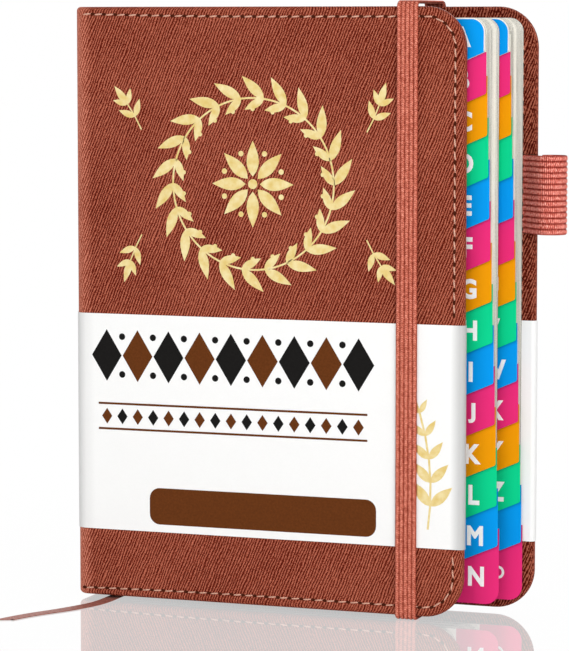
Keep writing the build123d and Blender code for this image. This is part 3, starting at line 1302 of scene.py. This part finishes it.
def sprig(art, root, aim, pairs, look, scale=1.0):
    # a curved stem with paired leaves and a leaf at its tip
    at = Vector(root)
    for k in range(pairs):
        heading = Vector((math.cos(aim), math.sin(aim)))
        step = look["leafLong"] * look["sprigStep"] * scale
        aside = Vector((-heading.y, heading.x)) * look["stem"] * scale / 2
        ahead = at + heading * step
        art.shape([tuple(at - aside), tuple(ahead - aside), tuple(ahead + aside), tuple(at + aside)])
        size = scale * (1 - look["sprigShrink"] * k)
        longShare, wideShare = look["sprigLeaf"]
        leaf = look["leafLong"] * longShare * size, look["leafWide"] * wideShare * size
        for side in (1, -1):
            art.blade(tuple(ahead), aim + side * look["sprigSpread"], *leaf)
        at = ahead
        aim += look["sprigCurl"]
    art.blade(tuple(at), aim, look["leafLong"] * scale, look["leafWide"] * scale)


def coverFoil(look):
    art = FlatArt(frontFace - look["proud"])
    middle = (spineFace + look["centre"][0], coverLow + look["centre"][1])
    radius = look["radius"]
    art.hoop(middle, radius, look["stem"])
    for k in range(look["sprays"]):
        turn = 2 * math.pi * k / look["sprays"]
        root = onCircle(middle, radius, turn)
        art.blade(root, turn + look["leafTurn"], look["leafLong"], look["leafWide"])
        small = look["leafLong"] * look["smallLong"], look["leafWide"] * look["smallWide"]
        art.blade(root, turn + math.pi - look["leafTurn"], *small)
        spot = onCircle(middle, radius - look["berryIn"], turn - math.pi / look["sprays"])
        art.dot(spot, look["berry"] * look["berrySmall"])
    for k in range(look["petals"]):
        turn = 2 * math.pi * k / look["petals"]
        art.blade(onCircle(middle, look["petalRoot"], turn), turn, look["petalLong"], look["petalWide"])
        art.dot(onCircle(middle, look["petalBerry"], turn + math.pi / look["petals"]), look["berry"])
    art.dot(middle, look["eye"])
    for side, lift in ((1, 1), (-1, 1), (1, -1), (-1, -1)):
        root = (middle[0] + side * look["sprigAt"][0], middle[1] + lift * look["sprigAt"][1])
        aim = math.radians(lift * (90 - side * look["sprigLean"]))
        sprig(art, root, aim, 2, look, look["sprigSize"])
    art.piece("coverFoil", goldFoil("coverFoil", look), "front_cover", "band_paper")


coverFoil(foilLook)
print("cover foil pressed")

# print on the belly band: plain ornament in black, brown and gold

printLook = {
    "rowHeight": 0.0575,
    "lozenges": 9,
    "wide": 0.0105,
    "tall": 0.017,
    "left": 0.0115,
    "right": 0.0985,
    "dot": 0.0011,
    "dotOff": 0.0062,
    "secondHeight": 0.0375,
    "secondSize": (0.0036, 0.0052),
    "lines": (0.0038, -0.0045),
    "lineThick": 0.0007,
    "lineOver": 0.003,
    "plate": (0.0265, 0.0025, 0.1045, 0.0145),
    "plateRound": 0.0035,
    "sprigAt": (0.0115, 0.006),
    "sprigAim": 84,
    "sprigPairs": 6,
    "sprigSize": 1.15,
    "proud": 0.00003,
    "black": (0.008, 0.0075, 0.007),
    "brown": (0.108, 0.030, 0.006),
}


def printInk(name, ink):
    finish, (where, x, y, z) = newFinish(name)
    fine = noise(where, 1500.0, 3.0)
    colour = ramp(fine, [(0.3, ink), (0.8, shaded(ink, 1.35))])
    return coat(finish, colour, roughness=0.5, specular=0.05, relief=(fine, 0.05, 0.00003))


def bandPrint(look):
    face = bandFace - look["proud"]
    dark, warm, gilt = FlatArt(face), FlatArt(face), FlatArt(face)
    left, right = spineFace + look["left"], spineFace + look["right"]
    row = bandLow + look["rowHeight"]
    span = (right - left) / (look["lozenges"] - 1)
    for k in range(look["lozenges"]):
        place = (left + span * k, row)
        (dark if k % 2 == 0 else warm).lozenge(place, look["wide"], look["tall"])
    for k in range(look["lozenges"] - 1):
        place = left + span * (k + 0.5)
        for off in (look["dotOff"], -look["dotOff"]):
            dark.dot((place, row + off), look["dot"])
    second = bandLow + look["secondHeight"]
    for height in look["lines"]:
        low = (left - look["lineOver"], second + height)
        warm.bar(low, (right + look["lineOver"], low[1] + look["lineThick"]))
    for k in range(2 * look["lozenges"] - 1):
        (warm if k % 2 == 0 else dark).lozenge((left + span / 2 * k, second), *look["secondSize"])
    x0, z0, x1, z1 = look["plate"]
    x0, x1, z0, z1 = spineFace + x0, spineFace + x1, bandLow + z0, bandLow + z1
    r = look["plateRound"]
    warm.shape(arcPoints(x0 + r, z0 + r, r, 180, 270, 6) + arcPoints(x1 - r, z0 + r, r, 270, 360, 6)
               + arcPoints(x1 - r, z1 - r, r, 0, 90, 6) + arcPoints(x0 + r, z1 - r, r, 90, 180, 6))
    root = (frontEdge - look["sprigAt"][0], bandLow + look["sprigAt"][1])
    sprig(gilt, root, math.radians(look["sprigAim"]), look["sprigPairs"], foilLook, look["sprigSize"])
    dark.piece("bandPrintBlack", printInk("blackInk", look["black"]), "front_cover", "band_paper")
    warm.piece("bandPrintBrown", printInk("brownInk", look["brown"]), "front_cover", "band_paper")
    gilt.piece("bandPrintGold", goldFoil("bandFoil", foilLook), "front_cover", "band_paper")


bandPrint(printLook)
print("band printed")

# table, light and background

stageLook = {
    "mirror": 0.44,
    "floor": (0.92, 0.92, 0.92),
    "far": 6.0,
    "shadowShare": 0.06,
    "shadowReach": 0.32,
    "ambient": 0.55,
    "lampAim": (0, 0, 0.1),
    "lamps": {  # place, size and power
        "keyLamp": ((0.2, -1.3, 0.9), 0.6, 4.8),
        "fillLamp": ((1.1, -0.9, 0.6), 0.8, 7.2),
        "backLamp": ((-0.3, 1.4, 0.8), 0.8, 8.2),
    },
}


def mixShaders(tree, share, first, second):
    node = tree.nodes.new("ShaderNodeMixShader")
    plug(share, node.inputs[0])
    tree.links.new(first.outputs[0], node.inputs[1])
    tree.links.new(second.outputs[0], node.inputs[2])
    return node


def tableGloss(look):
    finish = bpy.data.materials.new("tableGloss")
    finish.use_nodes = True
    tree = finish.node_tree
    tree.nodes.clear()
    matt = tree.nodes.new("ShaderNodeBsdfDiffuse")
    matt.inputs[0].default_value = (*look["floor"], 1)
    white = tree.nodes.new("ShaderNodeEmission")
    white.inputs[1].default_value = 1.0
    sheen = tree.nodes.new("ShaderNodeBsdfGlossy")
    sheen.inputs["Color"].default_value = (1, 1, 1, 1)
    sheen.inputs["Roughness"].default_value = 0.0
    # the shadow fades into plain white away from the book
    where, x, y, z = placeOf(tree)
    near = (x * x + y * y).root().fading(look["shadowReach"])
    seen = mixShaders(tree, 1.0 - near * look["shadowShare"], matt, white)
    ray = tree.nodes.new("ShaderNodeLightPath").outputs["Is Camera Ray"]
    plain = mixShaders(tree, Value(tree, ray), matt, seen)
    gloss = mixShaders(tree, look["mirror"], plain, sheen)
    out = tree.nodes.new("ShaderNodeOutputMaterial")
    tree.links.new(gloss.outputs[0], out.inputs[0])
    return finish


def addTable(look):
    far = look["far"]
    corners = [(-far, -far, 0), (far, -far, 0), (far, far, 0), (-far, far, 0)]
    meshPiece("table", corners, [(0, 1, 2, 3)], [tableGloss(look)], smooth=False)


def addWorld(look):
    # plain white to the eye and in reflections, and a softer level as light
    world = bpy.data.worlds.new("studio")
    scene.world = world
    world.use_nodes = True
    tree = world.node_tree
    sky = tree.nodes["Background"]
    sky.inputs[0].default_value = (1, 1, 1, 1)
    rays = tree.nodes.new("ShaderNodeLightPath").outputs
    clear, *others = (Value(tree, rays[f"Is {kind} Ray"]) for kind in ("Camera", "Glossy", "Transmission"))
    for other in others:
        clear = clear.atLeast(other)
    plug(clear * (1.0 - look["ambient"]) + look["ambient"], sky.inputs[1])


def addLamp(name, place, size, power, aim):
    data = bpy.data.lights.new(name, "AREA")
    data.shape = "DISK"
    data.size = size
    data.energy = power
    lamp = bpy.data.objects.new(name, data)
    lamp.location = place
    lamp.rotation_euler = (Vector(place) - Vector(aim)).to_track_quat("Z", "Y").to_euler()
    scene.collection.objects.link(lamp)


addTable(stageLook)
addWorld(stageLook)
for name, lamp in stageLook["lamps"].items():
    addLamp(name, *lamp, stageLook["lampAim"])
scene.view_settings.view_transform = "Standard"
print("stage lit")
